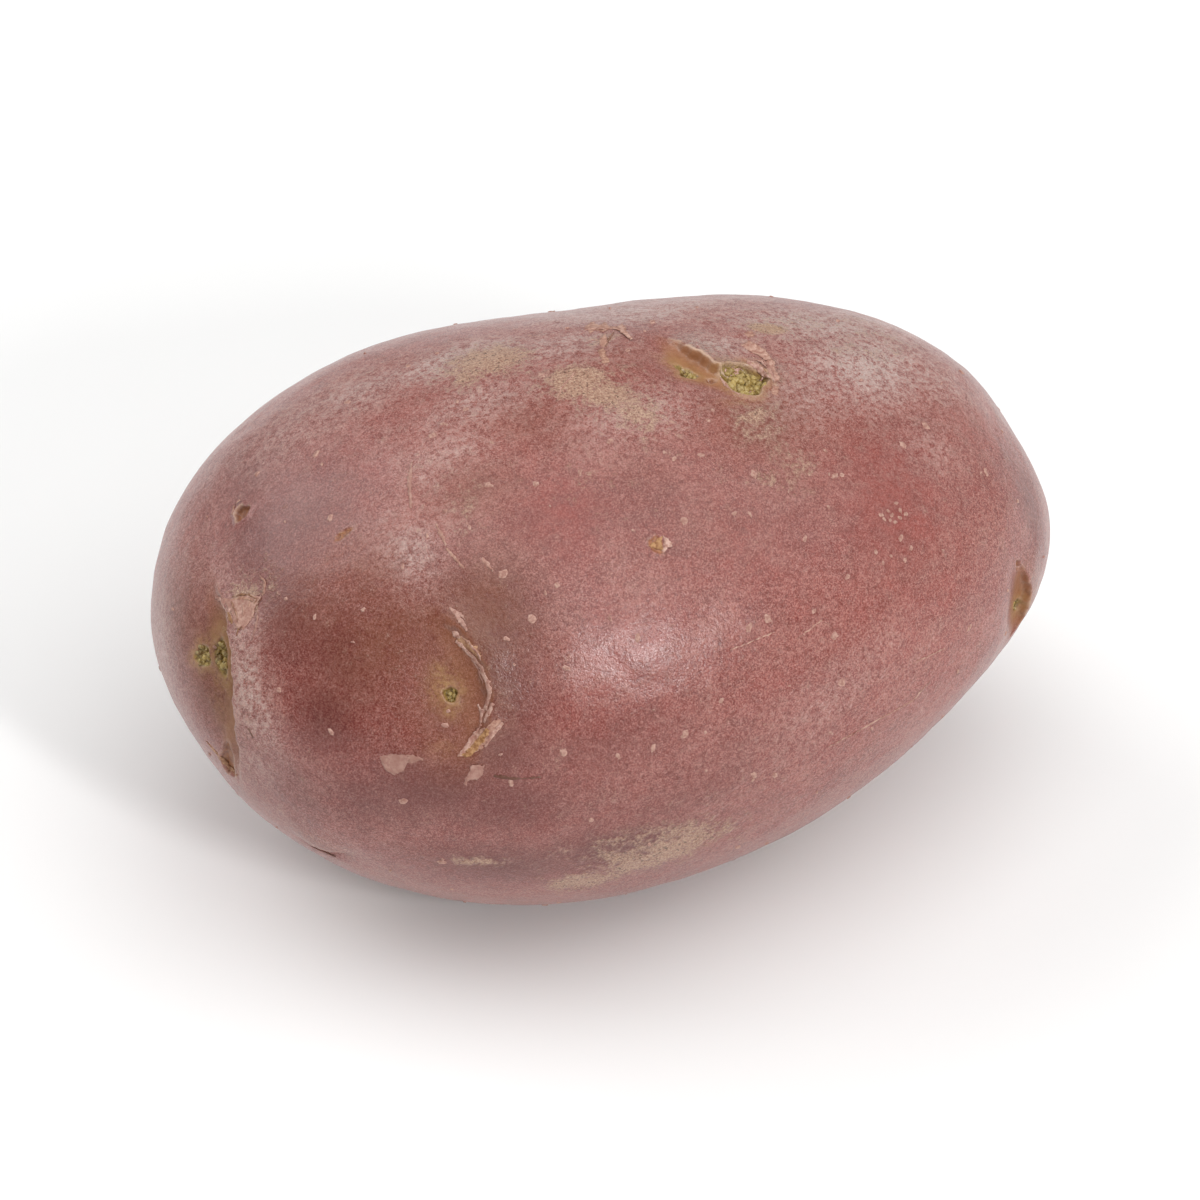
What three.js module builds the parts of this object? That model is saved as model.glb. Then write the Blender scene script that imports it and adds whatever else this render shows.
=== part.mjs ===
// A red-skinned potato lying on its flattest side.
// Millimetres, +Z up. +X points to the heel, where the stolon was, and -X to the rose end.
// The origin is the middle of the footprint, on the surface that the potato rests on.
import * as THREE from "three";
import { mergeVertices } from "three/addons/utils/BufferGeometryUtils.js";

// Driving dimensions of the smooth body, before swellings and eyes.
const LENGTH = 94;
const WIDTH = 63.4;
const HEIGHT = 55.6;
const TAPER = 0.1; // share by which the section is fuller at the rose end and slimmer at the heel
const REST_CUT = 0.6; // how much of the belly the rest spot flattens away

// Low swellings and hollows: longitude from +X, latitude, height in mm.
const SWELLING_SPREAD = 0.36; // radians
const SWELLINGS = [
  [-17, 0, 0.8], // heel, front
  [-2, 17, -0.9], // flat above the heel
  [16, 33, 1.6], // heel shoulder
  [46, 47, 0.9],
  [85, 49, -1.2], // flat of the back
  [120, 39, 1.0],
  [143, 22, 1.2], // rose-end shoulder
  [160, 4, 0.6],
  [180, -19, -1.8], // under the rose end
  [-154, -39, -0.8],
  [-115, -50, 0.8],
  [-71, -44, 0.6],
  [-41, -26, -0.3],
  [62, -12, 0.9], // far side
  [128, -34, -0.7],
];

// Smaller lumps and dents, with each one's spread in radians.
const LUMPS = [
  [-143.9, 49.3, 0.2, 0.14],
  [-131, 29, -0.7, 0.2], // round the front eye
  [-156, 14, 0.5, 0.12], // beside the rose-end brow
  [172, 33, -0.5, 0.12],
  [-64, 47, -0.35, 0.16],
  [-32, 22, 0.3, 0.12],
  [60, 70, -0.4, 0.14],
  [95, 30, 0.5, 0.16],
  [130, -5, 0.5, 0.16],
  [70, -20, -0.5, 0.18],
  [-20, -45, -0.4, 0.16],
];

// Eyes. Buds lie near the middle of each, and the brow, a curved lip of skin, stands on the heel's
// side of them. turn is the way to the brow in degrees from heelward, half the brow's half length,
// reach its distance from the middle, slide its shift along itself, bend how fast it curves back
// round the middle, depth the hollow under it, spread how far that hollow runs back, and ridge the
// brow's own height. Each bud is [along the brow, towards the brow, radius, how deep it is sunk].
const EYES = [
  { lon: -17.9, lat: 79.7, turn: 27, half: 4.8, reach: 3, slide: 0.4, bend: 0, depth: 1.05,
    spread: 3.4, ridge: 0.3, buds: [[0.3, 0.3, 0.9, 0.3]] },
  { lon: -23.6, lat: 72.4, turn: 20, half: 2.4, reach: 2.9, slide: 0, bend: 0.08, depth: 0.4,
    spread: 2.8, ridge: 0.2, buds: [[0.1, 0.2, 2.1, 0.6]] },
  { lon: -168.3, lat: 17.6, turn: -28, half: 8.6, reach: 3.8, slide: -2.6, bend: 0.05, depth: 2.1,
    spread: 5, ridge: 0.6, buds: [[0.1, -2.8, 1, 0.12], [0.1, -0.6, 1, 0.15]] },
  { lon: -127.1, lat: 26.8, turn: 0, half: 7.2, reach: 3.75, slide: 0, bend: 0.055, depth: 0.9,
    spread: 5, ridge: 0.4, buds: [[-0.6, -0.5, 0.65, 0.5]] },
  { lon: -37, lat: 1.7, turn: 0, half: 4.3, reach: 3, slide: -1.2, bend: 0.06, depth: 1.1,
    spread: 2.8, ridge: 0.25, buds: [[-2.3, 1.9, 0.6, 0.3]] },
  { lon: -145.9, lat: -16.6, turn: 122, half: 2.8, reach: 0.4, slide: 0, bend: 0, depth: 0.9,
    spread: 1.6, ridge: 0.1, buds: [] },
  { lon: 48, lat: 12, turn: 14, half: 5.2, reach: 3, slide: 0.5, bend: 0.05, depth: 1.4,
    spread: 3.8, ridge: 0.35, buds: [[0, 0, 0.8, 0.3]] },
  { lon: 106, lat: 15, turn: -18, half: 6, reach: 3.2, slide: -0.8, bend: 0.045, depth: 1.4,
    spread: 4, ridge: 0.4, buds: [[-0.9, 0, 0.7, 0.4], [1.5, 0.2, 0.6, 0.3]] },
  { lon: 122, lat: -24, turn: 10, half: 5.4, reach: 3, slide: 0, bend: 0.06, depth: 1.3,
    spread: 3.8, ridge: 0.3, buds: [[0, 0, 0.7, 0.4]] },
  { lon: 166, lat: -8, turn: 24, half: 4.6, reach: 2.8, slide: 0, bend: 0.06, depth: 1.4,
    spread: 3.2, ridge: 0.35, buds: [[0, 0, 0.7, 0.3]] },
  { lon: -62, lat: -60, turn: -12, half: 5, reach: 3, slide: 0.6, bend: 0.05, depth: 1.1,
    spread: 3.6, ridge: 0.3, buds: [[0, 0, 0.7, 0.3]] },
  { lon: 26, lat: -38, turn: 20, half: 4.8, reach: 2.8, slide: 0, bend: 0.06, depth: 1,
    spread: 3.4, ridge: 0.3, buds: [[0, 0, 0.6, 0.4]] },
];
const BROW_WALL = 1.4; // mm over which a brow drops into its hollow
const BROW_BACK = 2.4; // mm over which a brow's ridge fades away from the hollow
const EYE_FIELD = 26; // mm from its middle beyond which an eye leaves the skin alone

// The stolon scar at the heel: a small dimple with a low rim.
const SCAR = { lon: 4, lat: -7, radius: 2.6, depth: 1.1, rim: 0.3 };

// The skin's mesh: an icosahedron's faces cut this fine, drawn in towards the eyes.
const DETAIL = 21;
const GATHER = 0.58;
const GATHER_SPREAD = 0.22; // radians

const SKIN_COLOUR = 0xa1746c;

const smoothstep = (low, high, x) => THREE.MathUtils.smoothstep(x, low, high);
const bell = (x, spread) => Math.exp(-((x / spread) ** 2));

// The unit direction at a longitude and latitude in degrees.
function direction(lon, lat) {
  const u = THREE.MathUtils.degToRad(lon);
  const v = THREE.MathUtils.degToRad(lat);
  return new THREE.Vector3(Math.cos(v) * Math.cos(u), Math.cos(v) * Math.sin(u), Math.sin(v));
}

const swellings = [...SWELLINGS, ...LUMPS].map(([lon, lat, height, spread = SWELLING_SPREAD]) => {
  return { way: direction(lon, lat), height, spread };
});

// The point of the smooth, swollen body in a direction.
function bodyPoint(way) {
  const fullness = 1 - TAPER * way.x;
  const point = new THREE.Vector3(
    (way.x * LENGTH) / 2,
    (way.y * WIDTH * fullness) / 2,
    (way.z * HEIGHT * fullness) / 2,
  );
  for (const swelling of swellings) {
    const rise = swelling.height * bell(way.angleTo(swelling.way), swelling.spread);
    point.addScaledVector(way, rise);
  }
  return point;
}

// The body's outward normal in a direction, from two short steps along it.
function bodyNormal(way) {
  const step = 0.004;
  const east = new THREE.Vector3(0, 0, 1).cross(way).normalize();
  const north = way.clone().cross(east);
  const here = bodyPoint(way);
  const toEast = bodyPoint(way.clone().addScaledVector(east, step).normalize()).sub(here);
  const toNorth = bodyPoint(way.clone().addScaledVector(north, step).normalize()).sub(here);
  return toEast.cross(toNorth).normalize();
}

// A frame on the body at a place: out of it, along the brow and towards the brow.
function placeFrame({ lon, lat, turn = 0 }) {
  const way = direction(lon, lat);
  const out = bodyNormal(way);
  const heelward = new THREE.Vector3(1, 0, 0);
  const towards = heelward.addScaledVector(out, -heelward.dot(out)).normalize();
  towards.applyAxisAngle(out, THREE.MathUtils.degToRad(turn));
  return { way, centre: bodyPoint(way), out, towards, along: out.clone().cross(towards) };
}

const eyes = EYES.map((eye) => ({ ...eye, frame: placeFrame(eye) }));
const scar = { ...SCAR, frame: placeFrame(SCAR) };

// How far an eye lifts the skin at (a, b) mm from its middle, a along the brow and b towards it.
function eyeRise(eye, a, b) {
  const s = a - eye.slide;
  const browAt = eye.reach - eye.bend * s * s;
  const past = (b - browAt) / Math.hypot(1, 2 * eye.bend * s);
  const brow = Math.exp(-((s / eye.half) ** 4));
  const hollow = eye.depth * bell(s, eye.half) * bell(b - eye.reach / 2, eye.spread);
  let rise = -hollow * (1 - brow * smoothstep(-BROW_WALL, 0, past));
  rise += eye.ridge * brow * bell(past, past > 0 ? BROW_BACK : BROW_WALL);
  for (const [along, towards, radius, sunk] of eye.buds) {
    rise -= sunk * bell(Math.hypot(a - along, b - towards), radius);
  }
  return rise;
}

// The stolon scar's lift at a distance from its middle.
function scarRise(off) {
  return scar.rim * bell(off - scar.radius * 1.3, scar.radius * 0.5) - scar.depth * bell(off, scar.radius);
}

// The potato's skin in a direction: the body with its eyes, scar and rest spot.
function skinPoint(way) {
  const base = bodyPoint(way);
  const point = base.clone();
  for (const eye of eyes) {
    const { centre, out, along, towards } = eye.frame;
    const from = base.clone().sub(centre);
    if (from.length() > EYE_FIELD) continue;
    point.addScaledVector(out, eyeRise(eye, from.dot(along), from.dot(towards)));
  }
  const fromScar = base.distanceTo(scar.frame.centre);
  point.addScaledVector(scar.frame.out, scarRise(fromScar));
  return point;
}

// Draws a direction in towards the eyes, so that the mesh is finest there.
function gathered(way) {
  const pull = new THREE.Vector3();
  let weight = 0;
  for (const { frame } of eyes) {
    const near = bell(way.angleTo(frame.way), GATHER_SPREAD);
    pull.addScaledVector(frame.way.clone().sub(way), near);
    weight += near;
  }
  return way.clone().addScaledVector(pull, GATHER / Math.max(1, weight)).normalize();
}

// The skin as one closed mesh, cut flat where it rests and moved to its own origin.
function skinGeometry() {
  const ball = new THREE.IcosahedronGeometry(1, DETAIL);
  ball.deleteAttribute("normal");
  ball.deleteAttribute("uv");
  const skin = mergeVertices(ball, 1e-5);
  const spots = skin.getAttribute("position");
  for (let i = 0; i < spots.count; i++) {
    const way = gathered(new THREE.Vector3().fromBufferAttribute(spots, i).normalize());
    spots.setXYZ(i, ...skinPoint(way).toArray());
  }
  skin.computeBoundingBox();
  const rest = skin.boundingBox.min.z + REST_CUT;
  for (let i = 0; i < spots.count; i++) spots.setZ(i, Math.max(spots.getZ(i), rest));
  const middle = skin.boundingBox.getCenter(new THREE.Vector3());
  skin.translate(-middle.x, -middle.y, -rest);
  skin.computeVertexNormals();
  return skin;
}

const material = new THREE.MeshStandardMaterial({
  color: SKIN_COLOUR,
  roughness: 0.6,
  metalness: 0,
});
const potato = new THREE.Mesh(skinGeometry(), material);
potato.name = "potato";

const part = new THREE.Group();
part.add(potato);

export default part;
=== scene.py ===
"""A red-skinned potato on a pale floor, seen from above its front left.

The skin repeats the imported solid's form at a finer scale: the same body, swellings, eyes and
stolon scar, with papery brows, unevenness and grain. Loose skin, buds, lenticels and scratches
are pieces of their own. Lengths are in millimetres until a mesh is made.
"""

import math
import random

import bmesh
import bpy
import numpy as np
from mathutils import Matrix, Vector, noise
from mathutils.bvhtree import BVHTree
from mathutils.geometry import delaunay_2d_cdt


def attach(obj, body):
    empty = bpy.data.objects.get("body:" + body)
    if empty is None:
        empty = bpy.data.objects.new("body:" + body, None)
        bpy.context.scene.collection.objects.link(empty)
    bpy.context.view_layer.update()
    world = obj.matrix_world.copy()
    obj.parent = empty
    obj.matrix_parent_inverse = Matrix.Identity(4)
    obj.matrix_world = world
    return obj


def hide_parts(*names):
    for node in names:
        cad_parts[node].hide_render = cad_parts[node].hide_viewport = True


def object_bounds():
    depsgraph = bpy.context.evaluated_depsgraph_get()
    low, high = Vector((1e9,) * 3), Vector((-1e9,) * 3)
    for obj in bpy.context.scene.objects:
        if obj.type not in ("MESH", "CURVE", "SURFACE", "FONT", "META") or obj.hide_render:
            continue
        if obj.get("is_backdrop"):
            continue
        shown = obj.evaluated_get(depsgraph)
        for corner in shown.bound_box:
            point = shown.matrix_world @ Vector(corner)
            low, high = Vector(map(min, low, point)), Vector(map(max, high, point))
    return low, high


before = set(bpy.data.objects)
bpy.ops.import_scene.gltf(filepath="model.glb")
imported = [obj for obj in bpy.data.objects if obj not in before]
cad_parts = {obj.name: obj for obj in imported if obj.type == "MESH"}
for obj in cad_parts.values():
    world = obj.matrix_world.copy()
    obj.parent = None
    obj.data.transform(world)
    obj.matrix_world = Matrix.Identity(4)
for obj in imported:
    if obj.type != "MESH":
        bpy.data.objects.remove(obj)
cad_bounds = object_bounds()

MM = 0.001

# The camera, and the photograph's frame that its places are read in.
PHOTO_SIZE = 1200  # pixels each way
CAMERA_AZIMUTH = -21
CAMERA_ELEVATION = 40
CAMERA_DISTANCE = 610
CAMERA_AIM = (-1.31, -0.52, 26.38)
LENS = 180
SENSOR = 36

# The smooth body, before swellings and eyes.
LENGTH = 94
WIDTH = 63.4
HEIGHT = 55.6
TAPER = 0.1  # share by which the section is fuller at the rose end and slimmer at the heel
REST_CUT = 0.6  # how much of the belly the rest spot flattens away

# Low swellings and hollows: longitude from +X, latitude, height.
SWELLING_SPREAD = 0.36  # radians
SWELLINGS = [
    (-17, 0, 0.8), (-2, 17, -0.9), (16, 33, 1.6), (46, 47, 0.9), (85, 49, -1.2), (120, 39, 1),
    (143, 22, 1.2), (160, 4, 0.6), (180, -19, -1.8), (-154, -39, -0.8), (-115, -50, 0.8),
    (-71, -44, 0.6), (-41, -26, -0.3), (62, -12, 0.9), (128, -34, -0.7),
]

# Smaller lumps and dents, with each one's spread.
LUMPS = [
    (-143.9, 49.3, 0.2, 0.14), (-131, 29, -0.7, 0.2), (-156, 14, 0.5, 0.12), (172, 33, -0.5, 0.12),
    (-64, 47, -0.35, 0.16), (-32, 22, 0.3, 0.12), (60, 70, -0.4, 0.14), (95, 30, 0.5, 0.16),
    (130, -5, 0.5, 0.16), (70, -20, -0.5, 0.18), (-20, -45, -0.4, 0.16),
]


def eye(place, brow, hollow, edge, bare, buds):
    """An eye's dimensions. Place: longitude, latitude and the way to its brow in degrees from
    heelward. Brow: half length, distance, shift along itself and bend. Hollow: depth and run. Edge:
    the brow's height, its wall's width, how far it leans over the hollow and how papery it is. Bare:
    how far the bare orange skin runs out from under the brow, and how strong it is."""
    lon, lat, turn = place
    half, reach, slide, bend = brow
    depth, spread = hollow
    ridge, wall, lap, papery = edge
    run, orange = bare
    return dict(locals())


def pit(along, towards, length, width, depth, rim, green, scales, pale=0):
    """A small ragged pit: its place from an eye's middle, half length, half width and depth, how
    high its rim stands, how green its floor is, how many bud scales lie in it and how pale they are."""
    return dict(locals())


def bud(along, towards, length, width, depth, scales):
    """A dormant bud, sunk in a green pit."""
    return pit(along, towards, length, width, depth, 0.04, 1, scales)


EYES = [
    eye((-17.9, 79.7, 27), (4.8, 3, 0.4, 0), (1.05, 3.4), (0.3, 0.7, 0.15, 1), (2.3, 0.95),
        [bud(0.3, 0.3, 0.9, 0.8, 0.3, 10), bud(1.4, 0.3, 0.6, 0.3, 0.1, 4)]),
    eye((-23.6, 72.4, 20), (2.4, 2.9, 0, 0.08), (0.4, 2.8), (0.2, 0.4, 0.1, 0.8), (0.3, 0.5),
        [pit(0.1, 0.2, 2.2, 2.1, 0.6, 0.22, 1, 36, 0.4)]),
    eye((-168.3, 17.6, -28), (8.6, 3.8, -2.6, 0.05), (2.1, 5), (0.6, 0.8, 0.3, 0.2), (3.2, 0.75),
        [bud(0.1, -2.8, 1, 0.9, 0.12, 14), bud(0.1, -0.6, 1.7, 0.65, 0.15, 16)]),
    eye((-127.1, 26.8, 0), (7.2, 3.75, 0, 0.055), (0.9, 5), (0.4, 1.2, 0, 0.1), (2.4, 0.3),
        [bud(-0.6, -0.5, 0.65, 0.6, 0.5, 5)]),
    eye((-37, 1.7, 0), (4.3, 3, -1.2, 0.06), (1.1, 2.8), (0.25, 0.45, 0.3, 0.6), (1.5, 0.85),
        [bud(-2.3, 1.9, 0.6, 0.5, 0.3, 6), pit(3.4, 1.2, 0.5, 0.3, 0.5, 0.05, 0, 0)]),
    eye((-145.9, -16.6, 122), (2.8, 0.4, 0, 0), (0.9, 1.6), (0.1, 0.4, 0.4, 0.3), (0.5, 0.3), []),
    eye((48, 12, 14), (5.2, 3, 0.5, 0.05), (1.4, 3.8), (0.35, 0.5, 0.4, 0.8), (1.4, 0.8),
        [bud(0, 0, 0.9, 0.6, 0.3, 9)]),
    eye((106, 15, -18), (6, 3.2, -0.8, 0.045), (1.4, 4), (0.4, 0.6, 0.4, 0.7), (1.5, 0.8),
        [bud(-0.9, 0, 0.7, 0.6, 0.4, 7), bud(1.5, 0.2, 0.6, 0.5, 0.3, 5)]),
    eye((122, -24, 10), (5.4, 3, 0, 0.06), (1.3, 3.8), (0.3, 0.7, 0.3, 0.6), (1.2, 0.6),
        [bud(0, 0, 0.8, 0.6, 0.4, 7)]),
    eye((166, -8, 24), (4.6, 2.8, 0, 0.06), (1.4, 3.2), (0.35, 0.6, 0.4, 0.5), (1.4, 0.7),
        [bud(0, 0, 0.8, 0.6, 0.3, 8)]),
    eye((-62, -60, -12), (5, 3, 0.6, 0.05), (1.1, 3.6), (0.3, 0.6, 0.3, 0.5), (1.2, 0.6),
        [bud(0, 0, 0.8, 0.5, 0.3, 7)]),
    eye((26, -38, 20), (4.8, 2.8, 0, 0.06), (1, 3.4), (0.3, 0.8, 0.2, 0.5), (1.3, 0.5),
        [bud(0, 0, 0.7, 0.5, 0.4, 6)]),
]
BROW_BACK = 2.4  # over which a brow's ridge fades away from the hollow
LAP_REACH = 0.9  # either side of the brow that leans with it
PIT_WALL = 0.16  # half the run over which a pit's wall drops
EYE_FIELD = 26  # from its middle beyond which an eye leaves the skin alone
PIT_FIELD = 6  # the same for a pit away from the eyes
FAR = 9.0  # stands for the distance from a brow or a pit of what lies outside its eye's field

# Pits away from the eyes: longitude, latitude, turn, and the pit.
PITS = [
    (172.6, 36.7, 30, pit(0, 0, 0.95, 0.8, 0.45, 0.18, 0, 0)),
    (-23.2, 76.7, 0, pit(0, 0, 0.35, 0.4, 0.4, 0.05, 0, 0)),
    (-162.8, -2.3, 20, pit(0, 0, 2, 0.85, 0.5, 0.1, 0, 0)),
    (-161.1, 46.8, 10, pit(0, 0, 0.3, 0.9, 0.15, 0.02, 0, 0)),
    (-95.2, 50.9, 0, pit(0, 0, 0.8, 0.6, 0.15, 0.05, 0, 0)),
    (88, 22, 15, pit(0, 0, 0.6, 0.5, 0.4, 0.1, 0, 0)),
    (140, -42, -20, pit(0, 0, 1.1, 0.3, 0.4, 0.08, 0, 0)),
    (30, 18, 0, pit(0, 0, 0.5, 0.4, 0.3, 0.08, 0, 0)),
]

SCAR_LON = 4
SCAR_LAT = -7
SCAR_RADIUS = 2.6
SCAR_DEPTH = 1.1
SCAR_RIM = 0.3

# The skin's slight unevenness: how high, and how far apart.
UNEVENNESS = [(0.16, 7), (0.06, 2.2)]

# The skin's mesh.
GATHER = 0.5
GATHER_SPREAD = 0.22  # radians
EDGE = 0.14  # length of the mesh's edges along a brow or round a pit
REFINE_ROUNDS = 3

rng = random.Random(1906)


def bell(x, spread):
    return np.exp(-((x / spread) ** 2))


def smoothstep(low, high, x):
    t = np.clip((x - low) / (high - low), 0, 1)
    return t * t * (3 - 2 * t)


def unit(vectors):
    return vectors / np.linalg.norm(vectors, axis=-1, keepdims=True)


def direction(lon, lat):
    """The unit direction at a longitude and latitude in degrees."""
    u = math.radians(lon)
    v = math.radians(lat)
    return np.array([math.cos(v) * math.cos(u), math.cos(v) * math.sin(u), math.sin(v)])


SWELLING_WAYS = [(direction(lon, lat), height, SWELLING_SPREAD) for lon, lat, height in SWELLINGS]
SWELLING_WAYS += [(direction(lon, lat), height, spread) for lon, lat, height, spread in LUMPS]


def body_points(ways):
    """The points of the smooth, swollen body in the given directions."""
    fullness = 1 - TAPER * ways[..., :1]
    points = ways * np.array([LENGTH, WIDTH, HEIGHT]) / 2
    points[..., 1:] *= fullness
    for way, height, spread in SWELLING_WAYS:
        angle = np.arccos(np.clip(ways @ way, -1, 1))
        points += ways * (height * bell(angle, spread))[..., None]
    return points


def body_normals(ways):
    """The body's outward normals, from two short steps along it."""
    step = 0.004
    east = unit(np.cross([0, 0, 1], ways))
    north = np.cross(ways, east)
    here = body_points(ways)
    to_east = body_points(unit(ways + step * east)) - here
    to_north = body_points(unit(ways + step * north)) - here
    return unit(np.cross(to_east, to_north))


class Spot:
    """A place on the body, with the directions out of it, along a brow there and towards it."""

    def __init__(self, way, turn=0):
        self.way = way
        self.point = body_points(way)
        self.out = body_normals(way)
        heelward = unit(np.array([1, 0, 0]) - self.out[0] * self.out)
        sideways = np.cross(self.out, heelward)
        angle = math.radians(turn)
        self.towards = math.cos(angle) * heelward + math.sin(angle) * sideways
        self.along = np.cross(self.out, self.towards)

    def place(self, points):
        """How far points lie along the brow, towards it, and from the spot."""
        off = points - self.point
        return off @ self.along, off @ self.towards, np.linalg.norm(off, axis=-1)


eye_spots = [Spot(direction(e["lon"], e["lat"]), e["turn"]) for e in EYES]
pit_spots = [Spot(direction(lon, lat), turn) for lon, lat, turn, _ in PITS]
scar_spot = Spot(direction(SCAR_LON, SCAR_LAT))


def brow_line(e, a, b):
    """How far along an eye's brow a place is, how far past it, and how strong the brow is there."""
    s = a - e["slide"]
    waver = 0.1 * np.sin(1.9 * s + e["lon"]) + 0.06 * np.sin(4.7 * s + e["lat"])
    edge = e["reach"] - e["bend"] * s**2 + waver
    past = (b - edge) / np.hypot(1, 2 * e["bend"] * s)
    return s, past, np.exp(-((s / e["half"]) ** 4))


def pit_oval(p, a, b):
    """How far out of a pit's ragged oval places are, 1 on its edge, and its wall's half width there."""
    u = (a - p["along"]) / p["length"]
    v = (b - p["towards"]) / p["width"]
    angle = np.arctan2(v, u)
    ragged = 1 + 0.1 * np.sin(3 * angle + 7 * p["length"]) + 0.07 * np.sin(5 * angle + 11 * p["width"])
    return np.hypot(u, v) / ragged, min(0.45, PIT_WALL / min(p["length"], p["width"]))


def pit_relief(p, a, b):
    """How far a pit lifts the skin."""
    off, wall = pit_oval(p, a, b)
    past = (off - 1 - wall) * min(p["length"], p["width"])
    sunk = p["depth"] * (1 - smoothstep(1 - wall, 1 + wall, off))
    return p["rim"] * bell(past, np.where(past > 0, 0.4, 0.12)) - sunk


def eye_relief(e, a, b):
    """How far an eye lifts the skin, and how far it leans it back over the hollow."""
    s, past, brow = brow_line(e, a, b)
    hollow = e["depth"] * bell(s, e["half"]) * bell(b - e["reach"] / 2, e["spread"])
    wall = smoothstep(-e["wall"], 0, past)
    rise = -hollow * (1 - brow * wall)
    rise += e["ridge"] * brow * bell(past, np.where(past > 0, BROW_BACK, e["wall"]))
    for p in e["buds"]:
        rise += pit_relief(p, a, b)
    return rise, e["lap"] * brow * bell(past, LAP_REACH) * wall


def unevenness(points):
    """How far the skin's slight unevenness lifts each point of the body."""
    lifts = np.zeros(len(points))
    for height, size in UNEVENNESS:
        lifts += [height * noise.noise(Vector(point) / size) for point in points]
    return lifts


def skin_points(ways):
    """The points of the finished skin in the given directions, still in the body's own frame."""
    base = body_points(ways)
    points = base + body_normals(ways) * unevenness(base)[:, None]
    for e, spot in zip(EYES, eye_spots):
        a, b, away = spot.place(base)
        near = away < EYE_FIELD
        rise, lean = eye_relief(e, a[near], b[near])
        points[near] += rise[:, None] * spot.out - lean[:, None] * spot.towards
    for (*_, p), spot in zip(PITS, pit_spots):
        a, b, away = spot.place(base)
        near = away < PIT_FIELD
        points[near] += pit_relief(p, a[near], b[near])[:, None] * spot.out
    away = scar_spot.place(base)[2]
    rise = SCAR_RIM * bell(away - SCAR_RADIUS * 1.3, SCAR_RADIUS * 0.5)
    rise -= SCAR_DEPTH * bell(away, SCAR_RADIUS)
    points += rise[:, None] * scar_spot.out
    return points


def gathered(ways):
    """Draws directions in towards the eyes, so that the mesh is finest there."""
    pull = np.zeros_like(ways)
    weight = np.zeros(len(ways))
    for spot in eye_spots:
        near = bell(np.arccos(np.clip(ways @ spot.way, -1, 1)), GATHER_SPREAD)
        pull += near[:, None] * (spot.way - ways)
        weight += near
    return unit(ways + pull * (GATHER / np.maximum(1, weight))[:, None])


def edge_wanted(base):
    """How long the mesh's edges may be at points of the body."""
    wanted = np.full(len(base), FAR)
    for e, spot in zip(EYES, eye_spots):
        a, b, away = spot.place(base)
        s, past, _ = brow_line(e, a, b)
        outside = np.maximum(0, np.abs(s) - 1.2 * e["half"])
        from_brow = np.where(away < EYE_FIELD, np.hypot(past + 0.2, outside), FAR)
        wanted = np.minimum(wanted, EDGE + 0.18 * np.maximum(0, from_brow - 0.4))
        for p in e["buds"]:
            wanted = np.minimum(wanted, pit_edge_wanted(p, a, b, away))
    for (*_, p), spot in zip(PITS, pit_spots):
        wanted = np.minimum(wanted, pit_edge_wanted(p, *spot.place(base)))
    return wanted


def pit_edge_wanted(p, a, b, away):
    """How long the mesh's edges may be near a pit."""
    off = pit_oval(p, a, b)[0]
    past = np.abs(off - 1) * min(p["length"], p["width"])
    return np.where(away < EYE_FIELD, EDGE + 0.2 * np.maximum(0, past - 0.3), FAR)


def skin_grid():
    """Directions and triangles of a ball that is fine along the brows."""
    ball = bmesh.new()
    bmesh.ops.create_icosphere(ball, subdivisions=7, radius=1)
    ways = gathered(unit(np.array([v.co[:] for v in ball.verts])))
    for vertex, way in zip(ball.verts, ways):
        vertex.co = way
    for _ in range(REFINE_ROUNDS):
        base = body_points(unit(np.array([v.co[:] for v in ball.verts])))
        ball.verts.index_update()
        edges = list(ball.edges)
        ends = np.array([(edge.verts[0].index, edge.verts[1].index) for edge in edges])
        first = base[ends[:, 0]]
        second = base[ends[:, 1]]
        length = np.linalg.norm(first - second, axis=1)
        too_long = length > 1.3 * edge_wanted((first + second) / 2)
        chosen = [edge for edge, split in zip(edges, too_long) if split]
        if not chosen:
            break
        bmesh.ops.subdivide_edges(ball, edges=chosen, cuts=1, use_grid_fill=True)
        bmesh.ops.triangulate(ball, faces=[face for face in ball.faces if len(face.verts) > 3])
    ball.verts.index_update()
    ways = unit(np.array([v.co[:] for v in ball.verts]))
    triangles = [[v.index for v in face.verts] for face in ball.faces]
    ball.free()
    return ways, triangles


def make_camera():
    """The camera at the photograph's angle."""
    data = bpy.data.cameras.new("camera")
    data.lens = LENS
    data.sensor_width = SENSOR
    data.clip_end = 20
    made = bpy.data.objects.new("camera", data)
    bpy.context.collection.objects.link(made)
    back = towards_view(CAMERA_AZIMUTH, CAMERA_ELEVATION)
    made.location = (Vector(CAMERA_AIM) + back * CAMERA_DISTANCE) * MM
    made.rotation_euler = back.to_track_quat("Z", "Y").to_euler()
    bpy.context.scene.camera = made
    return made


def towards_view(azimuth, elevation):
    """The direction out to something seen at an azimuth and elevation in degrees."""
    a = math.radians(azimuth)
    e = math.radians(elevation)
    return Vector((math.sin(a) * math.cos(e), -math.cos(a) * math.cos(e), math.sin(e)))


def link(name, mesh, *materials):
    """Makes a piece of the potato from a mesh."""
    mesh.shade_smooth()
    for material in materials:
        mesh.materials.append(material)
    piece = bpy.data.objects.new(name, mesh)
    bpy.context.collection.objects.link(piece)
    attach(piece, "root")
    return piece


# The skin's form.
grid_ways, grid_triangles = skin_grid()
grid_base = body_points(grid_ways)
grid_points = skin_points(grid_ways)
rest = grid_points[:, 2].min() + REST_CUT
grid_points[:, 2] = np.maximum(grid_points[:, 2], rest)
middle = (grid_points.min(axis=0) + grid_points.max(axis=0)) / 2
shift = np.array([middle[0], middle[1], rest])
grid_points -= shift

camera = make_camera()
skin_tree = BVHTree.FromPolygons([Vector(point) for point in grid_points], grid_triangles)


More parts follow.
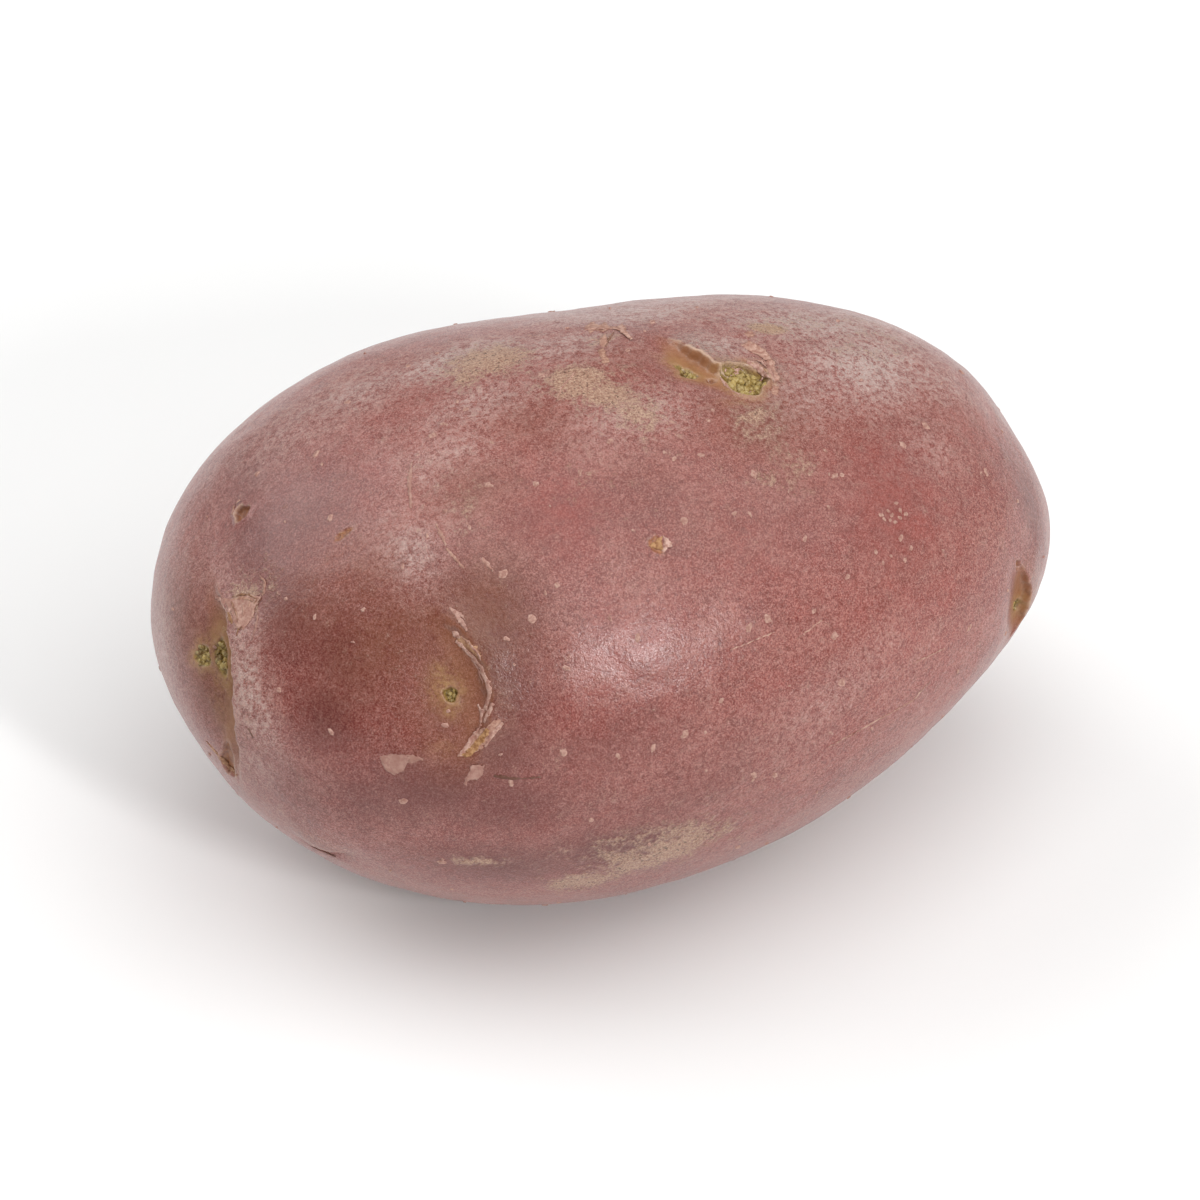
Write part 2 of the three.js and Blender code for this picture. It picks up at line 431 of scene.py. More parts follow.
def pick(x, y):
    """The skin's point and normal at a pixel of the photograph."""
    reach = LENS / SENSOR * PHOTO_SIZE
    ahead = Vector((x - PHOTO_SIZE / 2, PHOTO_SIZE / 2 - y, -reach)).normalized()
    turned = camera.rotation_euler.to_matrix() @ ahead
    point, normal, _, _ = skin_tree.ray_cast(camera.location / MM, turned)
    return point, normal


def land(point, out):
    """Where the skin is at a point, looked for along its normal, and the skin's own normal."""
    reach = 4
    found, normal, _, _ = skin_tree.ray_cast(point + out * reach, -out, 2 * reach)
    if found is None:
        return point, out
    return found, normal


def photo_spot(x, y, turn=0):
    """The place on the body under a pixel of the photograph."""
    point = np.array(pick(x, y)[0]) + shift
    nearest = np.linalg.norm(grid_base - point, axis=1).argmin()
    return Spot(grid_ways[nearest], turn)


# Where the skin's colours differ. Each place is a pixel of the photograph, then the half length
# towards the heel, the half width, the strength and, where it isn't 0, the turn from heelward.
PHOTO_PATCHES = {
    "russet": [
        (488, 361, 4.6, 3.4, 1.15), (578, 384, 3.2, 2.8, 1.2), (600, 390, 4.4, 3.8, 0.8, -10),
        (640, 414, 3.6, 3.8, 0.65), (757, 425, 3.6, 2.6, 0.6, 20), (790, 462, 4.6, 2.6, 0.5, 20),
        (604, 340, 2.2, 1, 0.8, 15), (765, 328, 2, 1.1, 1.8), (590, 480, 4, 2.6, 0.3),
        (588, 880, 4.5, 2.6, 0.9), (655, 850, 8, 4.2, 0.85), (770, 322, 8, 4, 0.35),
        (860, 335, 7, 5, 0.4), (478, 862, 3.6, 0.7, 0.7, 5), (343, 535, 1, 0.4, 0.9),
        (245, 600, 2.2, 2.2, 0.9), (262, 580, 1.6, 2.4, 0.5), (450, 500, 3, 4.2, 0.35),
    ],
    "olive": [
        (445, 690, 6, 7, 1), (400, 640, 8, 7, 0.95), (470, 620, 7, 6, 1), (350, 590, 8, 6, 0.8),
        (474, 668, 2.2, 4.5, 1), (492, 605, 5, 6, 1), (215, 690, 4, 6, 0.9), (180, 620, 5, 8, 0.7),
        (460, 760, 4, 3, 0.8), (760, 425, 7, 6, 0.8, 10), (540, 420, 6, 5, 0.5),
        (470, 490, 6, 4, 0.7), (620, 360, 6, 6, 0.4), (640, 470, 5, 5, 0.3),
        (690, 540, 8, 4, 0.25, 10),
    ],
    "brick": [
        (886, 492, 7, 8, 0.85), (520, 850, 12, 5, 0.6), (255, 500, 4, 5, 0.4),
        (560, 520, 8, 5, 0.8), (680, 500, 8, 5, 0.45), (850, 440, 8, 7, 0.3), (760, 530, 8, 5, 0.5),
        (330, 715, 4, 4, 0.8), (635, 650, 7, 5, 0.5), (600, 740, 9, 4, 0.4), (370, 470, 7, 5, 0.3),
    ],
    # Dark red skin, and painted shade towards the lower left and along the lower edge.
    "dark": [
        (325, 712, 4.5, 5.5, 1), (290, 610, 6, 8, 0.9), (345, 660, 6, 8, 0.9),
        (380, 800, 7, 5, 0.8), (485, 620, 6, 8, 1.2), (412, 552, 3, 3, 0.35), (500, 680, 5, 8, 1),
        (440, 790, 10, 5, 0.95), (500, 745, 6, 6, 0.9), (250, 700, 1.5, 6, 0.2),
        (505, 805, 9, 5, 0.85), (250, 480, 5, 6, 0.6), (262, 545, 6, 7, 0.75),
        (195, 640, 6, 8, 0.75), (305, 518, 8, 7, 0.75), (300, 790, 6, 5, 0.5),
        (510, 864, 12, 5, 0.95), (620, 850, 12, 5, 1), (690, 800, 12, 5, 0.55, 20),
        (1034, 510, 3, 6, 0.7), (650, 505, 7, 7, 0.5), (600, 750, 9, 4, 0.5),
        (780, 508, 8, 6, 0.45),
    ],
    # Pale dusty bloom, and a painted sheen where light falls along the top and on a brow's ridge.
    "bloom": [
        (412, 552, 3.4, 4.5, 0.72), (395, 530, 4, 4, 0.4), (440, 520, 4, 3.5, 0.3),
        (430, 475, 2, 3, 0.5), (215, 575, 3, 6, 0.25), (228, 462, 4, 5, 0.4),
        (250, 690, 2.4, 8, 0.8, -8), (262, 770, 4, 3, 0.4), (560, 345, 9, 5, 0.75),
        (720, 345, 5, 3, 0.85), (180, 560, 3, 6, 0.3), (870, 362, 12, 7, 1, 20),
        (920, 440, 9, 6, 0.42, 30), (800, 400, 9, 5, 0.62, 10), (640, 410, 9, 4, 0.6),
        (360, 390, 9, 5, 0.72), (830, 700, 9, 3, 0.3, 30), (480, 400, 9, 4, 0.6),
        (450, 360, 9, 4, 1), (455, 450, 6, 4, 0.5), (640, 312, 14, 5, 0.85), (820, 326, 14, 5, 1),
        (930, 376, 8, 5, 0.7), (290, 425, 8, 5, 0.55, 20),
    ],
    "yellow": [
        (446, 689, 1.6, 1.9, 0.9), (441, 671, 0.8, 0.9, 0.7), (449, 710, 0.9, 1, 0.8),
        (440, 745, 1.6, 1, 0.3), (214, 655, 1.6, 2.2, 0.6), (222, 705, 1.2, 2.6, 0.4),
        (690, 378, 1.6, 1, 0.6), (742, 400, 2.6, 0.8, 0.4), (766, 328, 1.9, 0.8, 0.5),
    ],
    "scuff": [
        (860, 690, 14, 8, 1), (760, 790, 12, 6, 0.8), (640, 850, 10, 5, 0.7), (950, 560, 8, 8, 0.6),
    ],
}

# The same on the sides that the photograph doesn't show, by longitude and latitude.
HIDDEN_PATCHES = {
    "russet": [
        (70, 38, 6, 4, 0.8, 20), (88, -8, 5, 3, 0.7, -15), (140, 8, 4, 3, 0.8),
        (30, -15, 6, 3, 0.6, 30), (-160, -45, 7, 4, 0.7), (-40, -62, 6, 4, 0.6),
        (95, -60, 7, 5, 0.6), (4, -7, 3.4, 3.4, 1),
    ],
    "olive": [
        (48, 12, 5, 5, 0.6), (106, 15, 6, 6, 0.7), (122, -24, 5, 5, 0.5), (166, -8, 5, 5, 0.6),
        (26, -38, 5, 5, 0.5), (80, 50, 9, 6, 0.3),
    ],
    "brick": [
        (75, 10, 8, 6, 0.8), (20, 10, 6, 6, 0.6), (150, -30, 7, 6, 0.6), (-100, -60, 8, 6, 0.5),
    ],
    "dark": [
        (135, -5, 6, 6, 0.8), (60, -30, 8, 5, 0.7), (-150, -60, 8, 6, 0.6), (10, -50, 8, 5, 0.5),
    ],
    "bloom": [
        (100, 45, 7, 5, 0.5), (55, 30, 5, 6, 0.5), (175, 10, 5, 6, 0.5), (0, -20, 6, 5, 0.5),
        (110, -40, 7, 5, 0.4),
    ],
    "yellow": [
        (106, 15, 2.4, 2, 0.6), (48, 12, 2, 1.6, 0.6),
    ],
    "scuff": [
        (90, 0, 12, 8, 0.8), (20, -10, 10, 8, 0.6), (-60, -50, 12, 8, 0.7),
    ],
}


def patch_mask(spots):
    """The strongest of some soft patches at each point of the grid."""
    mask = np.zeros(len(grid_base))
    for spot, length, width, strength in spots:
        across, towards, away = spot.place(grid_base)
        soft = strength * np.exp(-((towards / length) ** 2) - (across / width) ** 2)
        mask = np.maximum(mask, np.where(away < 3 * max(length, width), soft, 0))
    return mask


def patch_spots(kind):
    """A kind of patch's places, sizes and strengths, on all sides."""
    for x, y, length, width, strength, *turn in PHOTO_PATCHES[kind]:
        yield photo_spot(x, y, *turn), length, width, strength
    for lon, lat, length, width, strength, *turn in HIDDEN_PATCHES[kind]:
        yield Spot(direction(lon, lat), *turn), length, width, strength


def eye_masks():
    """The bare skin under the brows, their papery lips, the scurf behind them, and the pits: their
    yellow surroundings, green floors and brown floors."""
    names = ("bare", "lip", "scurf", "halo", "green", "brown")
    masks = {name: np.zeros(len(grid_base)) for name in names}

    def add(name, mask):
        masks[name] = np.maximum(masks[name], mask)

    def add_pit(p, a, b, away):
        off, wall = pit_oval(p, a, b)
        off = np.where(away < EYE_FIELD, off, FAR)
        past = (off - 1) * min(p["length"], p["width"])
        inside = 1 - smoothstep(1 - 0.3 * wall, 1 + wall, off)
        add("green", inside * p["green"])
        add("brown", inside * (1 - p["green"]))
        add("halo", bell(np.maximum(0, past), 0.9) * p["green"])
        add("lip", bell(past - 0.16, 0.12) * min(0.6, 4 * p["rim"]))

    for e, spot in zip(EYES, eye_spots):
        a, b, away = spot.place(grid_base)
        s, past, brow = brow_line(e, a, b)
        brow = np.where(away < EYE_FIELD, brow, 0)
        run = e["run"] * brow
        bare = brow * smoothstep(0.1, -0.15, past) * (1 - smoothstep(run, run + 1.4, -past))
        add("bare", bare * e["orange"])
        add("lip", brow * bell(past - 0.03, 0.14) * e["papery"])
        add("scurf", brow * smoothstep(0, 0.3, past) * bell(past, 2.4) * (0.2 + 0.8 * e["papery"]))
        for p in e["buds"]:
            add_pit(p, a, b, away)
    for (*_, p), spot in zip(PITS, pit_spots):
        add_pit(p, *spot.place(grid_base))
    return masks


masks = {kind: patch_mask(patch_spots(kind)) for kind in PHOTO_PATCHES}
masks.update(eye_masks())


# Materials.
ALBEDO = 0.76  # the skin's own reflectance over its colour as lit
COAT_RELIEF = 0.5  # share of a surface's relief that its thin gloss follows


def lit(red, green, blue):
    """The linear reflectance of a colour given as it looks in the light, 0 to 255."""
    channels = []
    for value in (red, green, blue):
        v = value / 255
        linear = v / 12.92 if v <= 0.04045 else ((v + 0.055) / 1.055) ** 2.4
        channels.append(linear * ALBEDO)
    return (*channels, 1)


class Shader:
    """A new material's nodes, with a short call for each kind that the potato needs."""

    def __init__(self, name):
        self.material = bpy.data.materials.new(name)
        self.material.use_nodes = True
        self.nodes = self.material.node_tree.nodes
        self.links = self.material.node_tree.links
        self.principled = self.nodes["Principled BSDF"]
        coordinates = self.nodes.new("ShaderNodeTexCoord").outputs["Object"]
        self.place = self.node("ShaderNodeVectorMath", "Vector", operation="SCALE")
        self.links.new(coordinates, self.place.node.inputs[0])
        self.place.node.inputs["Scale"].default_value = 1 / MM

    def node(self, kind, output, inputs=(), **settings):
        """Makes a node, sets it, links or sets its inputs, and returns one of its outputs."""
        made = self.nodes.new(kind)
        for name, value in settings.items():
            setattr(made, name, value)
        for name, value in dict(inputs).items():
            if isinstance(value, bpy.types.NodeSocket):
                self.links.new(value, made.inputs[name])
            else:
                made.inputs[name].default_value = value
        return made.outputs[output]

    def mask(self, name):
        return self.node("ShaderNodeAttribute", "Fac", attribute_name=name)

    def noise(self, size, detail=3.0, roughness=0.55, distortion=0.0, place=None):
        """Noise whose features are about size millimetres across."""
        inputs = {"Vector": place or self.place, "Scale": 1 / size, "Detail": detail}
        inputs.update({"Roughness": roughness, "Distortion": distortion})
        return self.node("ShaderNodeTexNoise", "Fac", inputs)

    def drawn_out(self, turn, share):
        """The place, with what lies along a direction in the XZ plane drawn out."""
        inputs = {"Vector": self.place, "Rotation": (0, -math.radians(turn), 0), "Scale": (share, 1, 1)}
        return self.node("ShaderNodeMapping", "Vector", inputs, vector_type="TEXTURE")

    def math(self, operation, first, second=0, clamp=False):
        inputs = {0: first, 1: second}
        return self.node("ShaderNodeMath", 0, inputs, operation=operation, use_clamp=clamp)

    def net(self, size, distortion):
        """Noise that falls to 0 along a net of lines."""
        return self.math("ABSOLUTE", self.math("SUBTRACT", self.noise(size, 2, 0.5, distortion), 0.5))

    def times(self, first, second):
        return self.math("MULTIPLY", first, second)

    def plus(self, first, second):
        return self.math("ADD", first, second)

    def span(self, value, low, high, start=0.0, end=1.0):
        """Maps low..high smoothly to start..end."""
        inputs = {"Value": value, "From Min": low, "From Max": high, "To Min": start, "To Max": end}
        return self.node("ShaderNodeMapRange", "Result", inputs, interpolation_type="SMOOTHSTEP")

    def mix(self, share, first, second):
        """Mixes two colours."""
        made = self.nodes.new("ShaderNodeMix")
        made.data_type = "RGBA"
        for socket, value in ((made.inputs[0], share), (made.inputs[6], first), (made.inputs[7], second)):
            if isinstance(value, bpy.types.NodeSocket):
                self.links.new(value, socket)
            else:
                socket.default_value = value
        return made.outputs[2]

    def finish(self, colour, roughness, height=None, **constants):
        """Links the colour, roughness and relief in millimetres, and sets what is the same all over."""
        self.links.new(colour, self.principled.inputs["Base Color"])
        self.links.new(roughness, self.principled.inputs["Roughness"])
        if height is not None:
            for socket, share in (("Normal", 1), ("Coat Normal", COAT_RELIEF)):
                bump = self.node("ShaderNodeBump", "Normal", {"Height": height, "Distance": share * MM})
                self.links.new(bump, self.principled.inputs[socket])
        for name, value in constants.items():
            self.principled.inputs[name.replace("_", " ")].default_value = value
        return self.material


def skin_material():
    """Red skin: mottled, finely grained, with corky, olive, dark and dusty patches and bare eyes; the
    dark patches are partly painted shade and the dusty ones partly a painted sheen.
    """
    s = Shader("potato_skin")
    broad = s.noise(15, 3)
    clouds = s.noise(5, 4, 0.6)
    middling = s.noise(1.8, 4, 0.62)
    mottle = s.noise(0.9, 3, 0.6)
    fine = s.noise(0.5, 3, 0.7)
    grain = s.noise(0.2, 2, 0.75)
    scuffs = s.noise(0.3, 3, 0.6, place=s.drawn_out(40, 7))
    thread = s.net(0.6, 2)
    vein = s.net(0.38, 1)

    # The red itself, brighter and darker in patches; the darkest patches are partly painted shade.
    colour = s.mix(s.span(broad, 0.35, 0.65), lit(136, 48, 40), lit(150, 61, 52))
    colour = s.mix(s.times(s.mask("brick"), 0.9), colour, lit(150, 44, 28))
    colour = s.mix(s.times(s.mask("dark"), 0.95), colour, lit(92, 15, 8))
    colour = s.mix(s.span(middling, 0.35, 0.7, 0, 0.5), colour, lit(100, 38, 31))
    olive = s.times(s.mask("olive"), s.span(clouds, 0.25, 0.6, 0.6, 1))
    colour = s.mix(olive, colour, lit(118, 56, 26))

    # Dust, partly a painted sheen along the top, and scurf, which keep off the dark, olive and brick-red
    # patches.
    plain = s.math("MAXIMUM", s.math("MAXIMUM", olive, s.mask("dark")), s.mask("brick"))
    plain = s.math("SUBTRACT", 1, s.times(plain, 0.7))
    bloom = s.mask("bloom")
    film = s.plus(s.span(clouds, 0.38, 0.66, 0.02, 0.24), s.times(bloom, 0.7))
    film = s.plus(film, s.times(s.mask("russet"), 0.35))
    film = s.math("MULTIPLY", film, s.span(fine, 0.34, 0.6, 0.15, 1.4), clamp=True)
    film = s.times(film, s.times(plain, s.span(mottle, 0.32, 0.65, 0.5, 1.35)))
    colour = s.mix(film, colour, s.mix(bloom, lit(184, 132, 120), lit(194, 172, 164)))
    scurf = s.times(s.mask("scurf"), s.span(fine, 0.35, 0.6, 0.2, 0.75))
    colour = s.mix(scurf, colour, lit(172, 142, 122))

    # Grain: pale grains with dark gaps, and a net of veins, threads and scuffs.
    colour = s.mix(s.span(mottle, 0.5, 0.3, 0, 0.45), colour, lit(106, 34, 25))
    pale = s.times(s.span(grain, 0.5, 0.62, 0, 0.45), plain)
    colour = s.mix(pale, colour, lit(208, 140, 127))
    bare_of_dust = s.math("SUBTRACT", 1, s.times(bloom, 0.75))
    contrast = s.times(bare_of_dust, s.plus(0.35, s.times(plain, 0.65)))
    gaps = s.times(s.span(grain, 0.46, 0.34, 0, 0.45), contrast)
    colour = s.mix(gaps, colour, lit(104, 40, 32))
    veined = s.plus(0.45, s.times(bloom, 0.35))
    veined = s.times(s.times(veined, plain), s.span(vein, 0.045, 0))
    colour = s.mix(veined, colour, s.mix(bloom, lit(214, 158, 146), lit(226, 204, 196)))
    threads = s.times(s.span(thread, 0.035, 0, 0, 0.4), plain)
    colour = s.mix(threads, colour, lit(220, 172, 162))
    scuffed = s.times(s.mask("scuff"), s.span(scuffs, 0.56, 0.72, 0, 0.45))
    colour = s.mix(scuffed, colour, lit(208, 168, 160))
    gaps = s.times(s.span(fine, 0.44, 0.3, 0, 0.5), contrast)
    colour = s.mix(gaps, colour, lit(96, 38, 30))
    # A faint darker ring round each lenticel: painted shade at its edge.
    colour = s.mix(s.times(s.mask("ring"), 0.2), colour, lit(112, 62, 56))

    # Cork, with dark specks.
    corky = s.times(s.mask("russet"), s.span(clouds, 0.32, 0.6, 0.65, 1.3))
    corky = s.plus(corky, s.span(fine, 0.2, 0.8, -0.35, 0.35))
    corky = s.plus(corky, s.span(middling, 0.2, 0.8, -0.3, 0.3))
    corky = s.span(corky, 0.25, 0.85, 0, 0.82)
    tan = s.mix(s.span(grain, 0.35, 0.7), lit(162, 118, 94), lit(218, 184, 156))
    colour = s.mix(corky, colour, tan)
    specks = s.times(s.math("MAXIMUM", corky, scurf), s.span(s.noise(0.35, 2, 0.6), 0.42, 0.32))
    colour = s.mix(specks, colour, lit(84, 54, 40))

    # The eyes and pits: bare skin, yellow surroundings, green and brown floors, and papery lips.
    orange = s.mix(s.span(middling, 0.3, 0.7), lit(150, 96, 58), lit(172, 117, 77))
    colour = s.mix(s.mask("bare"), colour, orange)
    halo = s.math("MAXIMUM", s.times(s.mask("halo"), 0.8), s.mask("yellow"))
    halo = s.times(halo, s.span(fine, 0.35, 0.6, 0.3, 0.9))
    colour = s.mix(halo, colour, lit(176, 134, 82))
    green = s.mix(s.span(fine, 0.4, 0.6), lit(116, 88, 34), lit(164, 138, 68))
    colour = s.mix(s.times(s.mask("green"), 0.9), colour, green)
    brown = s.mix(s.span(fine, 0.35, 0.65), lit(136, 76, 42), lit(178, 116, 72))
    colour = s.mix(s.times(s.mask("brown"), 0.9), colour, brown)
    lip = s.times(s.mask("lip"), s.span(middling, 0.4, 0.55, 0.1, 1))
    colour = s.mix(lip, colour, lit(216, 182, 156))

    # Gloss and relief.
    roughness = s.span(fine, 0.3, 0.7, 0.4, 0.54)
    roughness = s.plus(roughness, s.times(corky, 0.2))
    height = s.times(s.times(grain, 0.04), contrast)
    height = s.plus(height, s.times(fine, 0.065))
    height = s.plus(height, s.times(middling, 0.12))
    height = s.plus(height, s.times(s.times(corky, fine), 0.14))
    height = s.plus(height, s.times(s.times(scurf, fine), 0.2))
    return s.finish(
        colour, roughness, height,
        Specular_IOR_Level=0.3, Sheen_Weight=0.08, Sheen_Roughness=0.45, Sheen_Tint=(1, 0.9, 0.84, 1),
        Coat_Weight=0.6, Coat_Roughness=0.25,
    )


def papery_material():
    """Dried loose skin: pale pink to tan."""
    s = Shader("papery_skin")
    fine = s.noise(0.4, 3, 0.65)
    colour = s.mix(s.span(fine, 0.35, 0.65), lit(182, 132, 116), lit(226, 186, 170))
    colour = s.mix(s.span(s.noise(1.1, 2, 0.5), 0.4, 0.65, 0, 0.5), colour, lit(162, 104, 90))
    tan = s.mix(s.span(fine, 0.35, 0.65), lit(150, 100, 58), lit(204, 156, 110))
    colour = s.mix(s.mask("tan"), colour, tan)
    colour = s.mix(s.times(s.mask("dull"), 0.8), colour, lit(166, 120, 108))
    # Dark cracks: partly painted shade.
    colour = s.mix(s.mask("dark"), colour, lit(96, 52, 32))
    height = s.times(s.noise(0.25, 2, 0.6), 0.08)
    return s.finish(colour, s.span(fine, 0.3, 0.7, 0.5, 0.7), height, Specular_IOR_Level=0.35)


def lenticel_material():
    """The pale cork of a lenticel."""
    s = Shader("lenticel")
    fine = s.noise(0.3, 3, 0.6)
    colour = s.mix(s.span(fine, 0.35, 0.65), lit(172, 122, 108), lit(214, 172, 156))
    colour = s.mix(s.times(s.mask("heart"), 0.35), colour, lit(150, 106, 92))
    height = s.times(fine, 0.05)
    return s.finish(colour, s.span(fine, 0.3, 0.7, 0.5, 0.65), height, Specular_IOR_Level=0.35)


def bud_material():
    """The scales of a dormant bud: olive to yellow-green."""
    s = Shader("bud")
    tone = s.mask("tone")
    fine = s.noise(0.25, 2, 0.6)
    colour = s.mix(tone, lit(106, 72, 20), lit(197, 169, 99))
    colour = s.mix(s.span(fine, 0.45, 0.65, 0, 0.4), colour, lit(221, 205, 148))
    height = s.times(fine, 0.04)
    return s.finish(colour, s.span(fine, 0.3, 0.7, 0.4, 0.55), height, Specular_IOR_Level=0.45)


# Lenticels: pixels of the photograph where the plainest ones are, and how many more there are.
PHOTO_LENTICELS = [
    (348, 402), (316, 454), (257, 474), (433, 435), (444, 424), (408, 366), (542, 375), (466, 409),
    (701, 455), (488, 485), (536, 484), (610, 441), (750, 514), (805, 538), (835, 476), (901, 538),
    (903, 445), (986, 473), (926, 426), (331, 732), (330, 518), (445, 725), (653, 322), (754, 474),
    (580, 472), (503, 574), (532, 619), (506, 639), (566, 668), (564, 753), (618, 756), (653, 748),
    (685, 734), (684, 521), (591, 820), (511, 783), (404, 801), (442, 862), (638, 638), (749, 628),
    (768, 619), (834, 636), (842, 682), (831, 733), (754, 775), (775, 775), (738, 847), (969, 628),
]
PHOTO_SPECKS = [
    (353, 642), (279, 690), (286, 599), (881, 515), (888, 511), (892, 515), (896, 503), (900, 510),
    (900, 518), (906, 514), (890, 520), (884, 519), (895, 522), (900, 538), (903, 444), (829, 474),
    (836, 476), (842, 475), (828, 507), (924, 426), (981, 473), (985, 470), (876, 552), (883, 563),
    (905, 560), (911, 548), (891, 556),
]
LENTICEL_SIZE = 0.48  # half length
SPECK_SIZE = 0.26
LENTICEL_COUNT = 170
LENTICEL_RINGS = [(0, 0.09), (0.4, 0.11), (0.7, 0.09), (1, -0.06)]  # share of size, height
LENTICEL_SIDES = 11
LOWEST_LENTICEL = 0.3  # so that none lies on the rest spot


def lenticel_places():
    """Points and normals of the lenticels, with each one's half length."""
    for x, y in PHOTO_LENTICELS:
        yield *pick(x, y), LENTICEL_SIZE * rng.uniform(0.85, 1.2)
    for x, y in PHOTO_SPECKS:
        yield *pick(x, y), SPECK_SIZE * rng.uniform(0.8, 1.3)
    for _ in range(LENTICEL_COUNT):
        way = Vector([rng.gauss(0, 1) for _ in range(3)]).normalized()
        half = LENTICEL_SIZE * rng.uniform(0.35, 0.85)
        point, normal, _, _ = skin_tree.ray_cast(Vector(-shift), way)
        if point.z > LOWEST_LENTICEL:
            yield point, normal, half


def lenticel_rings(places):
    """How near each of the grid's points is to a lenticel's edge, for a ring of painted shade round it.
    """
    mask = np.zeros(len(grid_points))
    for point, _, half in places:
        off = np.linalg.norm(grid_points - np.array(point), axis=1) / half
        mask = np.maximum(mask, bell(off - 1.2, 0.5))
    return mask


def make_lenticels(places):
    mesh = bmesh.new()
    heart = mesh.verts.layers.float.new("heart")
    for point, normal, half in places:
        turn = rng.uniform(0, math.tau)
        narrow = rng.uniform(0.4, 0.9)
        heel = Vector((1, 0, 0))
        east = (heel - normal * heel.dot(normal)).normalized()
        north = normal.cross(east)
        wobble = [rng.uniform(0.7, 1.25) for _ in range(LENTICEL_SIDES)]
        rings = []
        for share, height in LENTICEL_RINGS:
            ring = []
            for k in range(LENTICEL_SIDES if share else 1):
                angle = math.tau * k / LENTICEL_SIDES
                out = half * share * wobble[k]
                u = out * math.cos(angle) * narrow
                v = out * math.sin(angle)
                along = east * (u * math.cos(turn) - v * math.sin(turn))
                along += north * (u * math.sin(turn) + v * math.cos(turn))
                vertex = mesh.verts.new((point + along + normal * height) * MM)
                vertex[heart] = 1 - share
                ring.append(vertex)
            rings.append(ring)
        for k in range(LENTICEL_SIDES):
            after = (k + 1) % LENTICEL_SIDES
            mesh.faces.new((rings[0][0], rings[1][k], rings[1][after]))
            for inner, outer in zip(rings[1:], rings[2:]):
                mesh.faces.new((inner[k], outer[k], outer[after], inner[after]))
    data = bpy.data.meshes.new("lenticels")
    mesh.to_mesh(data)
    mesh.free()
    link("lenticels", data, lenticel_material())


lenticels = list(lenticel_places())
masks["ring"] = lenticel_rings(lenticels)
make_lenticels(lenticels)

skin_mesh = bpy.data.meshes.new("skin")
skin_mesh.from_pydata(grid_points * MM, [], grid_triangles)
for name, mask in masks.items():
    skin_mesh.attributes.new(name, "FLOAT", "POINT").data.foreach_set("value", mask)
skin = link("skin", skin_mesh, skin_material())
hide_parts("potato")


# Loose skin, by outline in pixels of the photograph: how far its far edge lifts, how tan it is, how
# dull and, for a crack, how dark; a crack's dark is partly painted shade.
FLAKES = [
    ([(380, 757), (390, 754), (402, 754), (410, 757), (407, 763), (403, 770), (395, 775), (387, 772),
      (382, 765)], 0.2, 0, 0.8),
    ([(400, 756), (411, 755), (424, 759), (414, 762), (404, 763)], 0.05, 0.2, 0.9),
    ([(471, 765), (484, 765), (483, 774), (477, 779), (468, 781), (466, 787), (463, 783), (468, 774)],
     0.15, 0, 0.6),
    ([(724, 370), (732, 367), (739, 368), (738, 376), (731, 376), (725, 374)], 0.4, 0, 0),
    ([(746, 359), (757, 364), (766, 371), (773, 380), (764, 377), (756, 370), (748, 364)], 0.3, 0, 0.3),
    ([(222, 598), (236, 600), (250, 595), (262, 597), (256, 607), (253, 617), (243, 630), (236, 628),
      (231, 614), (226, 605)], 0.15, 0.1, 0.35),
    ([(585, 327), (592, 322), (599, 326), (605, 323), (611, 329), (603, 332), (595, 330), (590, 334)],
     0.12, 0.2, 0.3),
    ([(600, 338), (606, 335), (608, 342), (604, 347), (599, 345)], 0.15, 0.2, 0.2),
    ([(598, 350), (604, 349), (606, 356), (610, 362), (603, 364), (600, 357)], 0.12, 0.3, 0.2),
    ([(616, 327), (622, 325), (627, 330), (622, 333)], 0.15, 0.1, 0.2),
    ([(741, 345), (748, 341), (756, 345), (765, 352), (771, 361), (764, 361), (757, 355), (749, 351)],
     0.25, 0.1, 0.1),
    ([(767, 358), (774, 362), (775, 371), (780, 380), (773, 382), (769, 373), (765, 366)], 0.2, 0.1, 0.1),
    ([(772, 386), (779, 388), (778, 395), (772, 394)], 0.1, 0.2, 0.2),
    ([(744, 333), (751, 331), (755, 336), (748, 338)], 0.1, 0.2, 0.3),
    ([(648, 546), (662, 536), (663, 550)], 0.02, 1, 0),
    ([(663, 536), (673, 544), (664, 552)], 0.2, 0, 0),
    ([(500, 719), (503, 724), (500, 729), (492, 735), (486, 743), (480, 750), (470, 755), (457, 757),
      (462, 749), (470, 738), (479, 729), (486, 728), (494, 721)], 0, 0.2, 0.1),
]
